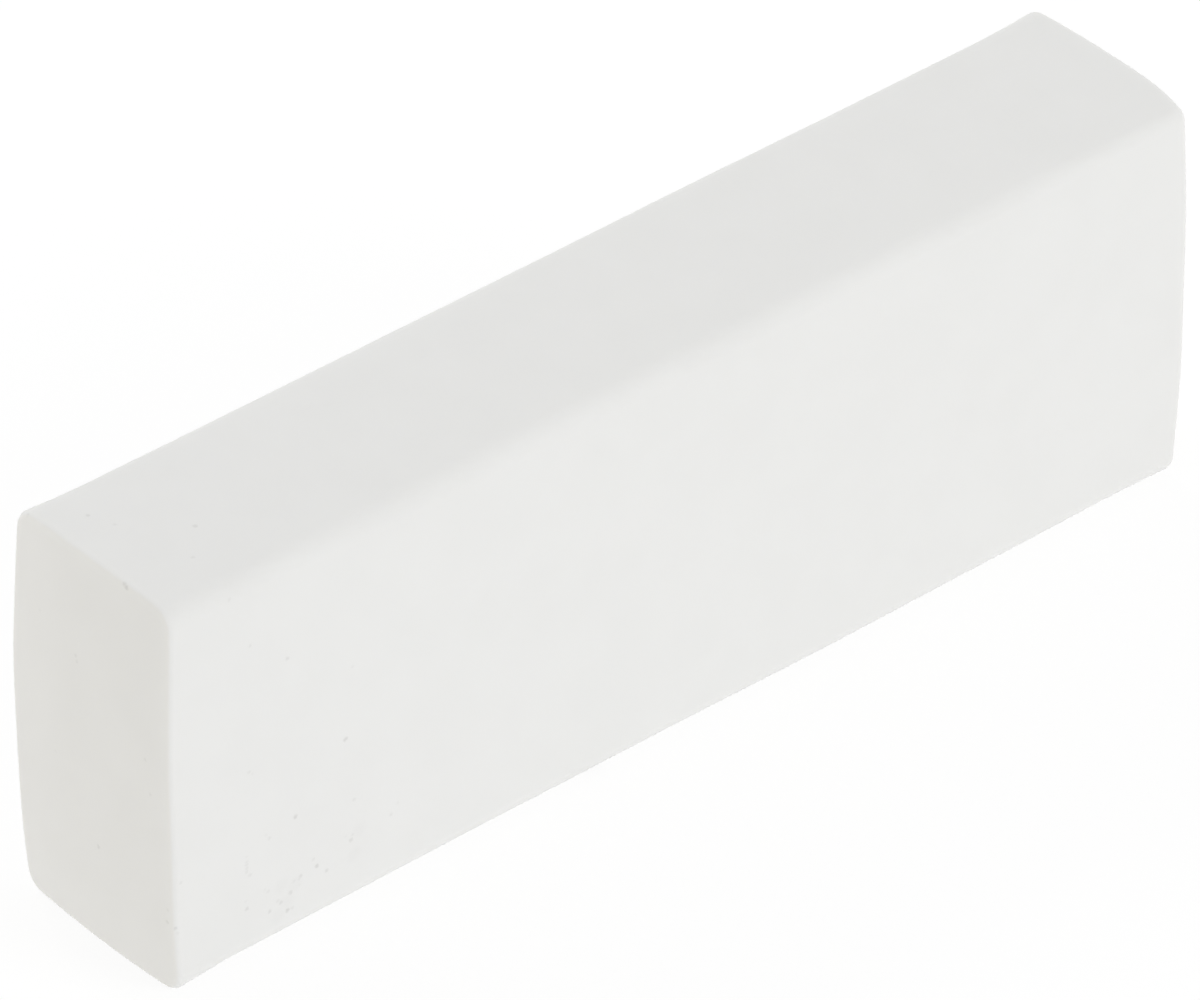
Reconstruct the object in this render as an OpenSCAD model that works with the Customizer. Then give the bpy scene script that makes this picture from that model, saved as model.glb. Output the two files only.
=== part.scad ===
// A block eraser of soft white vinyl: one length cut by knife from a moulded bar.
// The bar runs along X and stands on its long narrow foot, with its wide faces towards -Y and +Y.
// The origin is at the middle of the foot. All sizes are in millimetres.

/* [Overall size] */
// Length over the middle of the two cut ends
length = 65; // [40:1:90]
// Width of the wide faces, which is the height as the block stands
width = 23; // [16:0.5:32]
// Thickness from one wide face to the other
thickness = 12; // [9:0.5:18]

/* [Long edges] */
// Radius of the edge between the front and the top
top_front_r = 1.4; // [0.6:0.1:3]
// Radius of the edge between the back and the top
top_back_r = 1.3; // [0.6:0.1:3]
// Radius of the edge between the back and the foot
foot_back_r = 1; // [0.6:0.1:3]
// Radius of the edge between the front and the foot
foot_front_r = 1.2; // [0.6:0.1:3]

/* [Faces] */
// Swell of each wide face, from its long edges to its middle
wide_face_swell = 0.25; // [0:0.05:0.6]
// Swell of the top face, from its long edges to its middle; the foot is flat
top_face_swell = 0.2; // [0:0.05:0.4]

/* [Cut ends] */
// Swell of each end, from its top and foot to the middle of its height
end_swell_upright = 0.4; // [0:0.05:1]
// Swell of each end, from the wide faces to the middle of its thickness
end_swell_across = 0.15; // [0:0.05:0.4]
// Radius of the cut edges
cut_edge_r = 0.2; // [0.1:0.05:0.5]
// How far each side of the bar spreads where the knife pressed on it
cut_spread = 0.1; // [0:0.05:0.3]
// Distance from a cut edge over which the spread dies away
cut_spread_length = 4; // [2:0.5:10]

/* [Hidden] */

// Steps in the arc of a long edge, in the arc of a cut edge, and along the spread
edge_steps = 7;
cut_steps = 4;
spread_steps = 4;
// Steps across a wide face and across the top; the foot is one flat step
wide_steps = 8;
top_steps = 4;
// Steps from a cut edge to the middle of its end
end_face_steps = 3;

// The bar between its spread ends
bar_half = thickness / 2 - cut_spread;
bar_w = width - cut_spread;

// The arc of one long edge, cut back by inset; side is -1 at the front and 1 at the back.
function edge_arc(side, upper, r, start, inset) =
    let (centre = [side * (bar_half - r), upper ? bar_w - r : r])
    [for (i = [0:edge_steps])
        let (angle = start + 90 * i / edge_steps)
        centre + (r - inset) * [cos(angle), sin(angle)]];

// Points between p and q that part the line into n equal steps
function between(p, q, n) = [for (i = [1:1:n - 1]) p + (q - p) * i / n];

// The section of the bar as [y, z] points, anticlockwise as seen from +X, before its faces swell
function outline(inset) =
    let (
        foot_front = edge_arc(-1, false, foot_front_r, 180, inset),
        foot_back = edge_arc(1, false, foot_back_r, 270, inset),
        top_back = edge_arc(1, true, top_back_r, 0, inset),
        top_front = edge_arc(-1, true, top_front_r, 90, inset)
    )
    concat(
        foot_front,
        foot_back, between(foot_back[edge_steps], top_back[0], wide_steps),
        top_back, between(top_back[edge_steps], top_front[0], top_steps),
        top_front, between(top_front[edge_steps], foot_front[0], wide_steps)
    );

// A section point moved by the swell of the faces, then by the spread of a cut end
function formed(p, spread) =
    let (
        up = 2 * p[1] / bar_w - 1,
        across = p[0] / bar_half,
        y = p[0] - across * wide_face_swell * up ^ 2,
        z = p[1] - top_face_swell * across ^ 2 * p[1] / bar_w
    )
    [y * (1 + spread / bar_half), z * (1 + spread / bar_w)];

// How far from the middle of the bar an end's surface stands at the section point q
function end_x(q) =
    let (
        up = 2 * q[1] / width - 1,
        across = 2 * q[0] / thickness
    )
    length / 2 - end_swell_upright * up ^ 2 - end_swell_across * across ^ 2;

// Spread of the bar at depth behind an end's surface
function spread_at(depth) =
    cut_spread * max(0, 1 - max(0, depth - cut_edge_r) / cut_spread_length) ^ 2;

// One ring of points round the bar; end is -1 or 1
function side_ring(end, depth, inset) =
    [for (p = outline(inset))
        let (q = formed(p, spread_at(depth)))
        [end * (end_x(q) - depth), q[0], q[1]]];

// One ring on an end's face: its cut edge shrunk towards the middle, down to share of its size
function end_ring(end, share) =
    let (middle = [0, width / 2])
    [for (p = outline(cut_edge_r))
        let (q = middle + share * (formed(p, cut_spread) - middle))
        [end * end_x(q), q[0], q[1]]];

// The rings of one end, from the middle of the bar outwards
function end_rings(end) =
    concat(
        [for (i = [spread_steps:-1:1])
            side_ring(end, cut_edge_r + cut_spread_length * i / spread_steps, 0)],
        [for (i = [0:cut_steps])
            let (turn = 90 * i / cut_steps)
            side_ring(end, cut_edge_r * (1 - sin(turn)), cut_edge_r * (1 - cos(turn)))],
        [for (i = [end_face_steps - 1:-1:1]) end_ring(end, i / end_face_steps)]
    );

function reversed(list) = [for (i = [len(list) - 1:-1:0]) list[i]];

// A closed skin over rings of equal length, with a fan round a tip point at each end
module skin(rings, first_tip, last_tip) {
    n = len(rings[0]);
    last = len(rings) - 1;
    points = concat([for (ring = rings) each ring], [first_tip, last_tip]);
    first_fan = [for (j = [0:n - 1]) [n * (last + 1), j, (j + 1) % n]];
    last_fan = [for (j = [0:n - 1]) [n * (last + 1) + 1, n * last + (j + 1) % n, n * last + j]];
    bands = [for (i = [0:last - 1], j = [0:n - 1])
        let (a = n * i + j, b = a + n, d = n * i + (j + 1) % n, c = d + n)
        each [[a, b, c], [a, c, d]]];
    polyhedron(points, concat(first_fan, bands, last_fan), convexity = 2);
}

module eraser() {
    rings = concat(reversed(end_rings(-1)), end_rings(1));
    tip = [length / 2, 0, width / 2];
    color([0.92, 0.92, 0.915])
        skin(rings, [-tip[0], tip[1], tip[2]], tip);
}

eraser();
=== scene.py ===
"""The looks of a block eraser of soft white vinyl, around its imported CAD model.

The block is one fine quad mesh that stands for the CAD solid: a bar with its own radius on each long
edge, swollen faces, bowed knife-cut ends and the lips that the cuts left. Shapes are worked out in
millimetres on the block, with x from end to end, y from front to back and z up from the foot.
"""
import math

import bpy
import numpy as np
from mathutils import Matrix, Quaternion, Vector, noise


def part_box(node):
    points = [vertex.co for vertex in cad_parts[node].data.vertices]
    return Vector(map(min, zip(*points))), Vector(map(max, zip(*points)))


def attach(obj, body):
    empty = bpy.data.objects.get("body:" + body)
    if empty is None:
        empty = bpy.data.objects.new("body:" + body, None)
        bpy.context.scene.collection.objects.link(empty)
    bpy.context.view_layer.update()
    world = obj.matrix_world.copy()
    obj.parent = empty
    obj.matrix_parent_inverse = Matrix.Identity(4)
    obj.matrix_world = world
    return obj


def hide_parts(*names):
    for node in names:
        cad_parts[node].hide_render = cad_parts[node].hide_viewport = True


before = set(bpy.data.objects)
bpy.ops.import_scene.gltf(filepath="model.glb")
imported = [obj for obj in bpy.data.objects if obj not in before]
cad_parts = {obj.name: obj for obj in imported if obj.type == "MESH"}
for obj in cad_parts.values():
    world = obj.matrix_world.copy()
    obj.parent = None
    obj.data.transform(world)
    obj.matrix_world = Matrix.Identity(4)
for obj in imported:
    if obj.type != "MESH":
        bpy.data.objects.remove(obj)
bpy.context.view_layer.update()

MM = 0.001
NEAR, FAR = -1, 1

LOW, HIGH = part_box("eraser")
LENGTH, THICKNESS, HEIGHT = (HIGH - LOW) / MM
MIDDLE_X, MIDDLE_Y = (LOW.x + HIGH.x) / 2 / MM, (LOW.y + HIGH.y) / 2 / MM
FOOT_Z = LOW.z / MM

# ---------------------------------------------------------------- the block's form, in millimetres

# The radius of each long edge at these distances from the near end, in the order of the outline
STATIONS = (0, 4, 10, 18, 30, 42, 54, 61)
EDGE_RADII = [
    (1.05, 1.28, 1.31, 1.33, 1.25, 1.05, 1.15, 1.2),  # foot, front
    (1.1, 1.1, 1.05, 1.05, 1.05, 1.05, 1.05, 1.05),   # foot, back
    (1.2, 1.2, 1.25, 1.25, 1.25, 1.2, 1.25, 1.25),    # top, back
    (1.0, 1.0, 1.1, 1.1, 1.0, 0.85, 0.7, 0.5),        # top, front
]
# Swell of the front, back and top faces, from their long edges to their middles
FRONT_SWELL, BACK_SWELL, TOP_SWELL = 0.2, 0.29, 0.22
# How far the front half of the top falls away at the near end and at the far end
TOP_FALL = (0.3, 0.85)
# Bow of each end towards its foot and its top, then towards its front and its back; a bow below 0
# bends the end outwards
BOW_UPRIGHT = {NEAR: (0.385, 0.55), FAR: (0.22, 0.155)}
BOW_ACROSS = {NEAR: (0.28, 0.22), FAR: (-0.12, 0.075)}
# How much less the two upper corners of each end are bowed than both bows together; below 0, how
# much more
BOW_CORNER = {NEAR: 0.12, FAR: -0.05}
# The wave that the knife left down each end: its depth, its length and the height of one crest
KNIFE_WAVE = {NEAR: (0.035, 9.6, 4.0), FAR: (0.055, 11.0, 6.0)}
# The rounding of the cut edges, then the height and the length of the lip that the knife pushed up
# behind them
CUT_RADIUS = 0.36
LIP, LIP_LENGTH = 0.1, 4.0

# Steps of the mesh: round one long edge, over the narrow faces and the wide faces, round a cut edge,
# along a lip, and along the bar between the lips
ARC_STEPS, NARROW_STEPS, WIDE_STEPS = 10, 36, 76
CUT_STEPS, LIP_STEPS, BAR_STEPS = 8, 18, 200

BAR_HALF = THICKNESS / 2 - LIP
BAR_HEIGHT = HEIGHT - LIP


def arc(side, upper, radius, start, inset):
    """The y and z of one long edge's arc on every ring; side is -1 at the front and 1 at the back."""
    angle = np.radians(start + 90 * np.arange(ARC_STEPS + 1) / ARC_STEPS)[None, :]
    centre_y = side * (BAR_HALF - radius)
    centre_z = BAR_HEIGHT - radius if upper else radius
    reach = radius - inset
    return np.stack([centre_y + reach * np.cos(angle), centre_z + reach * np.sin(angle)])


def between(start, end, steps):
    """The points strictly between two arcs, in equal steps."""
    share = (np.arange(1, steps) / steps)[None, None, :]
    return start[:, :, -1:] + (end[:, :, :1] - start[:, :, -1:]) * share


def outline(radii, inset):
    """Section points of every ring before the faces swell, anticlockwise as seen from +X.

    Each ring starts at the middle of the arc between the foot and the front.
    """
    foot_front = arc(-1, False, radii[0], 180, inset)
    foot_back = arc(1, False, radii[1], 270, inset)
    top_back = arc(1, True, radii[2], 0, inset)
    top_front = arc(-1, True, radii[3], 90, inset)
    ring = np.concatenate([
        foot_front, between(foot_front, foot_back, NARROW_STEPS),
        foot_back, between(foot_back, top_back, WIDE_STEPS),
        top_back, between(top_back, top_front, NARROW_STEPS),
        top_front, between(top_front, foot_front, WIDE_STEPS),
    ], axis=2)
    return np.roll(ring, -ARC_STEPS // 2, axis=2)


def formed(y, z, along, spread):
    """Section points moved by the swell of the faces, then by the spread of a cut end."""
    up = 2 * z / BAR_HEIGHT - 1
    across = y / BAR_HALF
    swell = np.where(across < 0, FRONT_SWELL, BACK_SWELL)
    fall = TOP_FALL[0] + (TOP_FALL[1] - TOP_FALL[0]) * along
    drop = np.where(across < 0, fall * across ** 4, TOP_SWELL * across ** 2)
    y = y - across * swell * up ** 2
    z = z - drop * z / BAR_HEIGHT
    return y * (1 + spread / BAR_HALF), z * (1 + spread / BAR_HEIGHT)


def end_x(end, y, z):
    """Where an end's surface stands at a section point."""
    up = 2 * z / HEIGHT - 1
    across = 2 * y / THICKNESS
    bow = np.where(up < 0, *BOW_UPRIGHT[end]) * up ** 2
    bow = bow + np.where(across < 0, *BOW_ACROSS[end]) * across ** 2
    bow = bow - np.where(up < 0, 0, BOW_CORNER[end]) * up ** 2 * across ** 2
    depth, period, crest = KNIFE_WAVE[end]
    wave = depth * (1 - np.cos(2 * math.pi * (z - crest) / period)) / 2
    return end * (LENGTH / 2 - bow - wave)


def edge_radius(radii, place):
    """A long edge's radius at a distance from the near end, eased from one station to the next."""
    total = np.full_like(place, radii[0])
    for start, end, step in zip(STATIONS, STATIONS[1:], np.diff(radii)):
        t = np.clip((place - start) / (end - start), 0, 1)
        total = total + step * t * t * (3 - 2 * t)
    return total


def ring_plan():
    """Each ring's inset, its share of the way along the bar, and its depth behind its own end."""
    turn = np.radians(90 * np.arange(CUT_STEPS + 1) / CUT_STEPS)
    cut_inset, cut_depth = CUT_RADIUS * (1 - np.sin(turn)), CUT_RADIUS * (1 - np.cos(turn))
    lip_depth = CUT_RADIUS + LIP_LENGTH * np.arange(1, LIP_STEPS + 1) / LIP_STEPS
    depth = np.concatenate([cut_depth, lip_depth])
    inset = np.concatenate([cut_inset, np.zeros(LIP_STEPS)])
    share = np.arange(1, BAR_STEPS) / BAR_STEPS
    count = len(share)
    inset = np.concatenate([inset, np.zeros(count), inset[::-1]])
    along = np.concatenate([np.zeros(len(depth)), share, np.ones(len(depth))])
    depth = np.concatenate([depth, np.full(count, depth[-1]), depth[::-1]])
    return inset[:, None], along[:, None], depth[:, None]


def bar_points():
    """The points of all rings, from the near end to the far one, as (rings, around, 3)."""
    inset, along, depth = ring_plan()
    place = depth + (LENGTH - 2 * depth) * along
    radii = [edge_radius(row, place) for row in EDGE_RADII]
    spread = LIP * np.clip(1 - np.clip(depth - CUT_RADIUS, 0, None) / LIP_LENGTH, 0, None) ** 2
    y, z = formed(*outline(radii, inset), along, spread)
    near_x = end_x(NEAR, y, z) + depth
    far_x = end_x(FAR, y, z) - depth
    return np.stack([near_x + (far_x - near_x) * along, y, z], axis=2)


def cap_index(ring, first_new):
    """The vertex numbers of an end's grid: its border is the ring, and its inside is new."""
    columns, rows = NARROW_STEPS + ARC_STEPS, WIDE_STEPS + ARC_STEPS
    index = np.zeros((rows + 1, columns + 1), int)
    loop = np.append(ring, ring[0])
    index[0] = loop[:columns + 1]
    index[:, -1] = loop[columns:columns + rows + 1]
    index[-1, ::-1] = loop[columns + rows:2 * columns + rows + 1]
    index[::-1, 0] = loop[2 * columns + rows:]
    inside = (rows - 1) * (columns - 1)
    index[1:-1, 1:-1] = first_new + np.arange(inside).reshape(rows - 1, columns - 1)
    return index


def cap_points(end, border):
    """The inside points of an end, blended from its four sides and laid on its bowed surface."""
    rows, columns = border.shape[0] - 1, border.shape[1] - 1
    u = (np.arange(columns + 1) / columns)[None, :, None]
    v = (np.arange(rows + 1) / rows)[:, None, None]
    sides = (1 - v) * border[:1] + v * border[-1:] + (1 - u) * border[:, :1] + u * border[:, -1:]
    corners = (
        (1 - v) * ((1 - u) * border[0, 0] + u * border[0, -1])
        + v * ((1 - u) * border[-1, 0] + u * border[-1, -1])
    )
    inside = (sides - corners)[1:-1, 1:-1]
    inside[..., 0] = end_x(end, inside[..., 1], inside[..., 2])
    return inside.reshape(-1, 3)


def quads(index):
    """The faces of a grid of vertex numbers."""
    return np.stack([index[:-1, :-1], index[:-1, 1:], index[1:, 1:], index[1:, :-1]], -1).reshape(-1, 4)


def block_mesh():
    """All points and faces of the block."""
    bar = bar_points()
    rings, around = bar.shape[:2]
    number = np.arange(rings * around).reshape(rings, around)
    points = bar.reshape(-1, 3)
    faces = [quads(np.hstack([number, number[:, :1]]))]
    for end, ring in ((NEAR, number[0]), (FAR, number[-1])):
        index = cap_index(ring, len(points))
        border = points[np.minimum(index, len(points) - 1)]
        points = np.vstack([points, cap_points(end, border)])
        faces.append(quads(index if end == FAR else index[:, ::-1]))
    return points, np.vstack(faces)


# ------------------------------------------------------------------------- unevenness of the vinyl

# The depth and the size of a slow wave over the faces, in millimetres, and how its noise is built
WAVE_DEPTH, WAVE_SIZE = 0.03, 9.0
WAVE_FALLOFF, WAVE_STEP, WAVE_OCTAVES = 1.0, 2.0, 3
# The height above the foot over which the wave grows from nothing
WAVE_START = 1.5


def wave(point):
    """A slow wave over the block, from 0 to 1."""
    level = noise.fractal(Vector(point) / WAVE_SIZE, WAVE_FALLOFF, WAVE_STEP, WAVE_OCTAVES)
    return min(1.0, max(0.0, 0.5 + 0.5 * level))


def uneven(mesh, points):
    """Sinks the faces by a slow, slight wave; the foot stays flat."""
    normals = np.zeros(points.size)
    mesh.vertex_normals.foreach_get("vector", normals)
    growth = np.clip((points[:, 2:] - FOOT_Z) / WAVE_START, 0, 1)
    waves = np.array([wave(point) for point in points])[:, None]
    sunk = points - normals.reshape(-1, 3) * WAVE_DEPTH * waves * growth
    mesh.vertices.foreach_set("co", (sunk * MM).ravel())
    mesh.update()


def add_block():
    points, faces = block_mesh()
    points += np.array([MIDDLE_X, MIDDLE_Y, FOOT_Z])
    mesh = bpy.data.meshes.new("eraser_block")
    mesh.from_pydata((points * MM).tolist(), [], faces.tolist())
    mesh.update()
    uneven(mesh, points)
    mesh.shade_smooth()
    block = bpy.data.objects.new("eraser_block", mesh)
    bpy.context.scene.collection.objects.link(block)
    mesh.materials.append(vinyl_material())
    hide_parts("eraser")
    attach(block, "root")


# --------------------------------------------------------------------------------------- materials

VINYL = (0.84, 0.84, 0.825, 1)
CUT_VINYL = (0.819, 0.808, 0.77, 1)
# A lighter copy of the cut vinyl, painted on a cut end where more light falls on it
PAINTED_LIGHT_CUT_VINYL = (0.838, 0.827, 0.79, 1)
GRIME = (0.2, 0.19, 0.17, 1)
WHITE = (1, 1, 1, 1)

# Where the painted light on a cut end starts, where it is at its full, and its share there: towards
# the back and the front in millimetres behind the middle, and towards the foot above it
PAINTED_LIGHT_BACK = (0.5, 5.0, 1.0)
PAINTED_LIGHT_FRONT = (-4.6, -5.8, 0.5)
PAINTED_LIGHT_FOOT = (4.5, 1.0, 0.8)
# Where the darker stretch towards the near end starts and is at its full, in millimetres from that end,
# and its share of the dark tone
NEAR_END_DARKER = (14.0, 1.0, 0.009)
# The cloudy tone: its scale and its detail, then the ranges of the cloud over which dirt and
# roughness rise, and how far
CLOUD_SCALE, CLOUD_DETAIL = 0.3, 1.0
CLOUD_DIRT = (0.35, 0.7, 0.0, 0.008)
CLOUD_ROUGHNESS = (0.3, 0.7, 0.56, 0.66)
# The grain of the skin: its scale, the strength of its bump and its height in metres
GRAIN_SCALE, GRAIN_STRENGTH, GRAIN_HEIGHT = 3.5, 0.6, 0.000004
# A surface turns from skin to cut as its direction along the bar rises through this range
CUT_FACING = (0.6, 0.95)
# How deep light goes into the vinyl, in metres, and its share of that in red, green and blue
LIGHT_DEPTH = 0.0004
LIGHT_SPREAD = (1.0, 1.0, 0.9)

# Each kind of fleck of dirt, from a dark speck to a wide faint smudge: its radius in millimetres, and
# how much of its middle is dirt
FLECK_KINDS = {
    "dark": (0.20, 0.20),
    "plain": (0.19, 0.14),
    "faint": (0.17, 0.09),
    "trace": (0.16, 0.05),
    "smudge": (0.75, 0.03),
}
# Places of the flecks on each face in view, in millimetres: on the front along from the near end and
# up from the foot, on the top along and across, on the near end across and up. Across is 0 at the
# middle and grows towards the back.
FACE_FLECKS = {
    "front": {
        "dark": [(7.4, 1.8), (7.9, 7.3), (9.2, 3.6), (11.0, 10.4)],
        "plain": [
            (7.6, 2.8), (7.0, 2.5), (6.3, 2.3), (9.8, 3.0), (4.9, 3.2), (11.3, 4.1), (8.2, 3.5),
            (7.6, 16.9),
        ],
        "faint": [
            (7.7, 1.8), (6.8, 2.7), (7.8, 3.4), (8.1, 3.4), (9.0, 4.1), (6.2, 3.6), (4.9, 5.5),
            (4.9, 5.7), (4.9, 5.9), (4.9, 6.1), (5.1, 5.2), (11.4, 4.4), (11.5, 6.5), (6.3, 6.8),
            (13.8, 4.4), (5.1, 11.4), (5.4, 18.7), (4.3, 21.9), (0.8, 7.0),
        ],
        "trace": [
            (8.1, 3.0), (6.0, 3.8), (4.8, 3.7), (4.9, 6.4), (6.1, 7.1), (11.0, 4.5), (11.6, 3.3),
            (14.2, 4.9), (5.3, 11.2), (11.5, 14.5),
        ],
        "smudge": [(7.0, 3.5), (7.8, 3.2), (7.4, 2.4), (6.8, 1.8), (11.8, 4.5), (11.5, 3.1)],
    },
    "top": {
        "plain": [(2.6, 2.7), (5.9, -1.2)],
        "faint": [(4.3, -3.0), (3.1, 1.3)],
    },
    "end": {
        "plain": [(-0.6, 6.3)],
        "faint": [(0.7, 16.6), (0.8, 16.9), (-4.6, 11.8), (-4.3, 13.7)],
        "trace": [(2.5, 10.2), (3.6, 17.9)],
    },
}
# Places of nicks and dirt on the near end's cut edges: along, across and up
EDGE_FLECKS = {
    "dark": [(0.6, -2.7, 22.7), (0.5, -5.9, 4.3)],
    "plain": [(0.6, -2.5, 22.8), (0.4, -5.4, 4.5)],
    "faint": [(0.6, -5.9, 4.0), (0.4, -5.5, 5.3), (0.7, 4.8, 22.6)],
    "trace": [(0.6, 5.8, 20.8), (0.4, -5.6, 8.0)],
}
# Each face's axis and the side that it is on
FACES = {"front": (1, -1), "top": (2, 1), "end": (0, -1)}
# How much a distance through the face counts in a fleck's reach, and how much of the radius is solid
FLECK_FLATTEN = 0.03
FLECK_SOLID = 0.2
# How far a fleck's outline wanders, in millimetres, and how finely
FLECK_WANDER, FLECK_WANDER_SCALE = 0.12, 7.0
# A face's flecks show where its share of the surface's direction has risen through this range
FLECK_FACING = (0.75, 0.9)


class Tree:
    """A node tree with one short call for each kind of node."""

    def __init__(self, owner):
        owner.use_nodes = True
        self.nodes = owner.node_tree.nodes
        self.links = owner.node_tree.links
        self.nodes.clear()

    def feed(self, socket, value):
        """Links a socket to another one, or sets it to a plain value."""
        if isinstance(value, bpy.types.NodeSocket):
            self.links.new(value, socket)
        else:
            socket.default_value = value

    def node(self, kind, inputs=(), **settings):
        node = self.nodes.new("ShaderNode" + kind)
        for name, value in settings.items():
            setattr(node, name, value)
        for name, value in dict(inputs).items():
            self.feed(node.inputs[name], value)
        return node

    def math(self, operation, *values):
        return self.node("Math", enumerate(values), operation=operation).outputs["Value"]

    def vector(self, operation, *values):
        node = self.node("VectorMath", enumerate(values), operation=operation)
        return node.outputs["Value" if operation == "DISTANCE" else "Vector"]

    def noise(self, place, scale, detail):
        return self.node("TexNoise", {"Vector": place, "Scale": scale, "Detail": detail})

    def ramp(self, value, start, end, low=0.0, high=1.0):
        """Eases from low to high as the value goes from start to end."""
        inputs = {"Value": value, "From Min": start, "From Max": end, "To Min": low, "To Max": high}
        return self.node("MapRange", inputs, interpolation_type="SMOOTHSTEP").outputs["Result"]

    def mix(self, factor, first, second):
        inputs = {0: factor, 6: first, 7: second}
        return self.node("Mix", inputs, data_type="RGBA").outputs[2]


def fleck_centre(face, place):
    """A fleck's place as a point in millimetres."""
    low, high = LOW / MM, HIGH / MM
    if face == "front":
        return Vector((low.x + place[0], low.y, low.z + place[1]))
    if face == "top":
        return Vector((low.x + place[0], MIDDLE_Y + place[1], high.z))
    return Vector((low.x, MIDDLE_Y + place[0], low.z + place[1]))


def fleck_marks(tree, place, kinds, centre):
    """How much dirt the flecks of one face leave at each point; centre gives a fleck's middle."""
    total = 0.0
    for kind, spots in kinds.items():
        size, cover = FLECK_KINDS[kind]
        nearest = size
        for spot in spots:
            nearest = tree.math("MINIMUM", nearest, tree.vector("DISTANCE", place, centre(spot)))
        total = tree.math("MAXIMUM", total, tree.ramp(nearest, size, size * FLECK_SOLID, 0.0, cover))
    return total


def fleck_cover(tree, place, normal):
    """How much dirt covers each point, from the listed flecks."""
    ragged = tree.noise(place, FLECK_WANDER_SCALE, 0.0).outputs["Color"]
    wander = Vector((FLECK_WANDER, FLECK_WANDER, FLECK_WANDER))
    place = tree.vector("ADD", place, tree.vector("MULTIPLY_ADD", ragged, wander, -wander / 2))
    corner = Vector((LOW.x / MM, MIDDLE_Y, FOOT_Z))
    total = fleck_marks(tree, place, EDGE_FLECKS, lambda spot: corner + Vector(spot))
    for face, (axis, side) in FACES.items():
        squeeze = Vector((1, 1, 1))
        squeeze[axis] = FLECK_FLATTEN
        squeezed = tree.vector("MULTIPLY", place, squeeze)
        marks = fleck_marks(
            tree, squeezed, FACE_FLECKS[face], lambda spot: fleck_centre(face, spot) * squeeze)
        facing = tree.ramp(tree.math("MULTIPLY", normal.outputs[axis], side), *FLECK_FACING)
        total = tree.math("MAXIMUM", total, tree.math("MULTIPLY", marks, facing))
    return total


def near_end_darkening(tree, along):
    """A trace darker on the last stretch of the bar towards the near end."""
    near_end = LOW.x / MM
    start, full, cover = NEAR_END_DARKER
    return tree.ramp(along, near_end + start, near_end + full, 0.0, cover)


def cut_tone(tree, across, up):
    """The colour of a cut end with painted light, a little lighter towards its back and foot and along
    its front edge.
    """
    painted_light = 0.0
    for value, zero, (start, full, share) in (
        (across, MIDDLE_Y, PAINTED_LIGHT_BACK),
        (across, MIDDLE_Y, PAINTED_LIGHT_FRONT),
        (up, FOOT_Z, PAINTED_LIGHT_FOOT),
    ):
        more_light = tree.ramp(value, zero + start, zero + full, 0.0, share)
        painted_light = tree.math("MAXIMUM", painted_light, more_light)
    return tree.mix(painted_light, CUT_VINYL, PAINTED_LIGHT_CUT_VINYL)


def vinyl_color(tree, place, normal, cut, cloud):
    x, y, z = tree.node("SeparateXYZ", {0: place}).outputs
    # Cut ends take their own tone, with painted light towards their back, foot and front edge
    tone = tree.mix(cut, VINYL, cut_tone(tree, y, z))
    cover = tree.ramp(cloud, *CLOUD_DIRT)
    cover = tree.math("ADD", cover, near_end_darkening(tree, x))
    cover = tree.math("MAXIMUM", cover, fleck_cover(tree, place, normal))
    return tree.mix(cover, tone, GRIME)


def vinyl_bump(tree, place):
    """The fine grain of the vinyl's skin."""
    grain = tree.noise(place, GRAIN_SCALE, 0.0).outputs["Fac"]
    inputs = {"Strength": GRAIN_STRENGTH, "Distance": GRAIN_HEIGHT, "Height": grain}
    return tree.node("Bump", inputs).outputs["Normal"]


def vinyl_material():
    material = bpy.data.materials.new("white_vinyl")
    tree = Tree(material)
    spot = tree.node("TexCoord")
    scaled = tree.node("VectorMath", {0: spot.outputs["Object"], "Scale": 1 / MM}, operation="SCALE")
    place = scaled.outputs["Vector"]
    normal = tree.node("SeparateXYZ", {0: spot.outputs["Normal"]})
    cut = tree.ramp(tree.math("ABSOLUTE", normal.outputs["X"]), *CUT_FACING)
    cloud = tree.noise(place, CLOUD_SCALE, CLOUD_DETAIL).outputs["Fac"]
    shader = tree.node("BsdfPrincipled", {
        "Base Color": vinyl_color(tree, place, normal, cut, cloud),
        "Roughness": tree.ramp(cloud, *CLOUD_ROUGHNESS),
        "Normal": vinyl_bump(tree, place),
        "Subsurface Weight": 1.0,
        "Subsurface Radius": LIGHT_SPREAD,
        "Subsurface Scale": LIGHT_DEPTH,
    }, subsurface_method="BURLEY")
    tree.node("OutputMaterial", {"Surface": shader.outputs["BSDF"]})
    return material


def seen_directly(tree):
    """1 for a ray from the camera, a gloss or a clear surface, and 0 for light that bounces softly."""
    path = tree.node("LightPath").outputs
    shiny = tree.math("MAXIMUM", path["Is Glossy Ray"], path["Is Transmission Ray"])
    return tree.math("MAXIMUM", path["Is Camera Ray"], shiny)


# ---------------------------------------------------------------------------------- floor and light

FLOOR_SIZE = 4.0
# The floor's colour and its own glow where it is seen, which make white in full light
FLOOR_SEEN_COLOR = (0.4, 0.4, 0.4, 1)
FLOOR_SEEN_GLOW = 0.65
# Its colour and its glow where it only lights the block, and the strength of the world's light there
FLOOR_COLOR = (0.1, 0.1, 0.1, 1)
FLOOR_GLOW = 0.843
WORLD_STRENGTH = 0.79


def floor_material():
    """A pale floor that shows white where it is lit in full and keeps the object's soft shadow."""
    material = bpy.data.materials.new("floor_paper")
    tree = Tree(material)
    seen = seen_directly(tree)
    paper = tree.node("BsdfDiffuse", {"Color": tree.mix(seen, FLOOR_COLOR, FLOOR_SEEN_COLOR)})
    strength = tree.ramp(seen, 0.0, 1.0, FLOOR_GLOW, FLOOR_SEEN_GLOW)
    glow = tree.node("Emission", {"Color": WHITE, "Strength": strength})
    both = tree.node("AddShader", {0: paper.outputs["BSDF"], 1: glow.outputs["Emission"]})
    tree.node("OutputMaterial", {"Surface": both.outputs["Shader"]})
    return material


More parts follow.
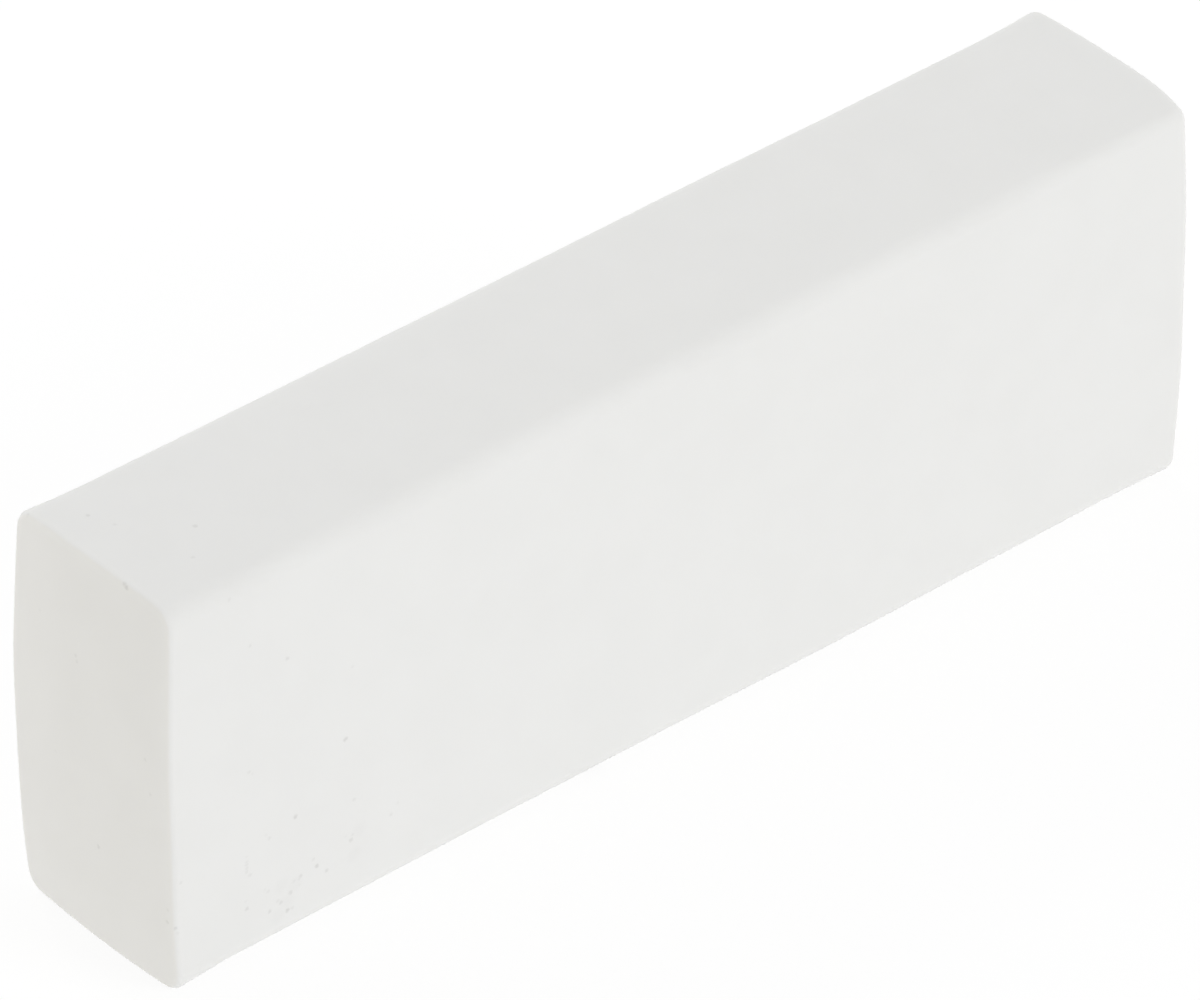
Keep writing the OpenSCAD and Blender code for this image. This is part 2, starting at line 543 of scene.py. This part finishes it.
def add_floor():
    half = FLOOR_SIZE / 2
    mesh = bpy.data.meshes.new("floor")
    corners = [(-half, -half, LOW.z), (half, -half, LOW.z), (half, half, LOW.z), (-half, half, LOW.z)]
    mesh.from_pydata(corners, [], [(0, 1, 2, 3)])
    mesh.materials.append(floor_material())
    floor = bpy.data.objects.new("floor", mesh)
    bpy.context.scene.collection.objects.link(floor)


def add_world():
    """White where it is seen, and a plain soft light on everything else."""
    world = bpy.data.worlds.new("studio")
    bpy.context.scene.world = world
    tree = Tree(world)
    strength = tree.ramp(seen_directly(tree), 0.0, 1.0, WORLD_STRENGTH, 1.0)
    background = tree.node("Background", {"Color": WHITE, "Strength": strength})
    tree.node("OutputWorld", {"Surface": background.outputs["Background"]})


def direction(azimuth, elevation):
    """A unit vector out from the block; azimuth 0 is the front and 90 the far end, in degrees."""
    a, e = math.radians(azimuth), math.radians(elevation)
    return Vector((math.sin(a) * math.cos(e), -math.cos(a) * math.cos(e), math.sin(e)))


def add_lamp(name, azimuth, elevation, distance, size, power):
    """A square soft box that faces the block; distance and size in metres, power in watts."""
    data = bpy.data.lights.new(name, "AREA")
    data.shape = "SQUARE"
    data.size = size
    data.energy = power
    lamp = bpy.data.objects.new(name, data)
    towards = direction(azimuth, elevation)
    lamp.location = block_middle() + towards * distance
    lamp.rotation_euler = towards.to_track_quat("Z", "Y").to_euler()
    lamp.visible_camera = False
    bpy.context.scene.collection.objects.link(lamp)


def add_lamps():
    add_lamp("key_lamp", azimuth=24, elevation=22, distance=0.8, size=0.42, power=0.935)
    add_lamp("fill_lamp", azimuth=182, elevation=28, distance=0.8, size=0.6, power=0.95)


# ------------------------------------------------------------------------------------------ camera

# Angles in degrees, the distance and the clip range in metres, the lens and the sensor in millimetres
CAMERA_AZIMUTH, CAMERA_ELEVATION, CAMERA_ROLL = -40.49, 36.81, 0.06
CAMERA_DISTANCE, CAMERA_LENS, SENSOR_WIDTH = 0.6121, 378.04, 36.0
CAMERA_CLIP = (0.01, 10.0)
# How far the camera's axis passes to the right of the block's middle and above it, in millimetres
AIM_RIGHT, AIM_UP = -0.463, -0.556


def block_middle():
    return (LOW + HIGH) / 2


def add_camera():
    data = bpy.data.cameras.new("camera")
    data.sensor_width = SENSOR_WIDTH
    data.lens = CAMERA_LENS
    data.clip_start, data.clip_end = CAMERA_CLIP
    camera = bpy.data.objects.new("camera", data)
    back = direction(CAMERA_AZIMUTH, CAMERA_ELEVATION)
    roll = Quaternion((0, 0, 1), math.radians(CAMERA_ROLL))
    turn = back.to_track_quat("Z", "Y") @ roll
    aim = turn @ Vector((AIM_RIGHT, AIM_UP, 0)) * MM
    camera.rotation_mode = "QUATERNION"
    camera.rotation_quaternion = turn
    camera.location = block_middle() + aim + back * CAMERA_DISTANCE
    bpy.context.scene.collection.objects.link(camera)
    bpy.context.scene.camera = camera


add_block()
add_floor()
add_world()
add_lamps()
add_camera()
bpy.context.scene.view_settings.view_transform = "Standard"
